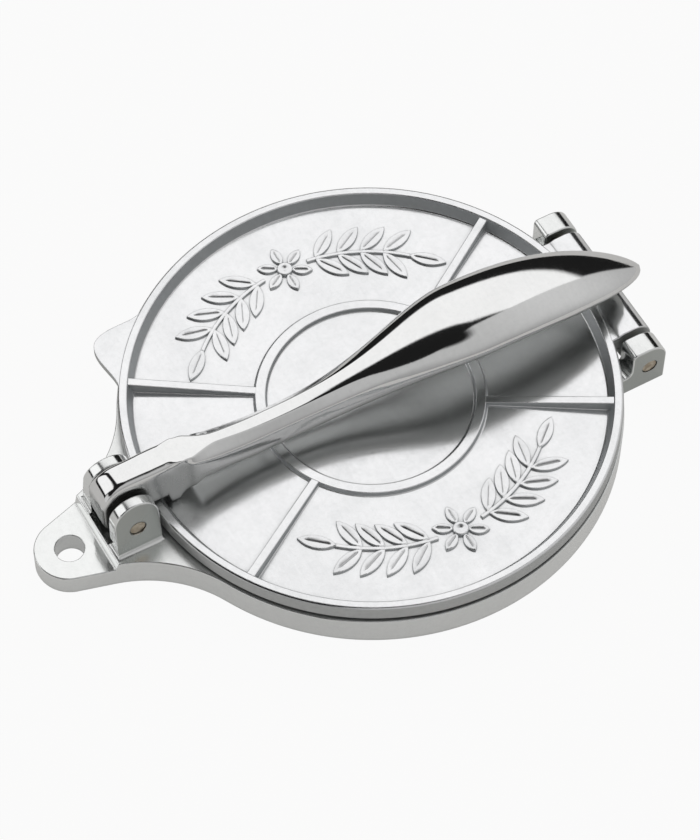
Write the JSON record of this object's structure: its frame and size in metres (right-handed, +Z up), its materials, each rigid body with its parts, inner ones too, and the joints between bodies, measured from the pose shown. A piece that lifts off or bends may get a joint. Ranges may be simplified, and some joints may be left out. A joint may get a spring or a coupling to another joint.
{
  "type": "tortilla press",
  "caption": "Cast hand press for round flatbreads: hinged round plates and a leaf-shaped lever that bears on the ribbed top plate.",
  "frame": {"origin": "middle of the base plate's underside, in the plane that the press stands on", "axes": "+Z up, square to the plates; +Y from the hanging tongue at the front to the hinge at the rear; +X along both hinge pins"},
  "size_m": [0.1662, 0.2227, 0.0442],
  "materials": {
    "base_casting": "polished casting, slightly soft reflections",
    "top_casting": "polished casting with fine buffing swirls",
    "lever_casting": "mirror polished",
    "pin_steel": "plain drawn steel"
  },
  "bodies": {
    "base": {"base_plate": "base_casting", "lever_pin": "pin_steel", "hinge_pin": "pin_steel"},
    "lid": {"top_plate": "top_casting"},
    "lever": {"lever": "lever_casting"}
  },
  "joints": [
    {"name": "lever_swing", "type": "hinge", "parent": "base", "child": "lever", "pos_m": [0, -0.0913, 0.0217], "axis": [1, 0, 0], "range_deg": [0, 100]},
    {"name": "lid_hinge", "type": "hinge", "parent": "base", "child": "lid", "pos_m": [0, 0.088, 0.0098], "axis": [-1, 0, 0], "range_deg": [0, 110]}
  ],
  "couplings": [
    {"joint": "lid_hinge", "follows": "lever_swing", "ratio": 0.06}
  ]
}
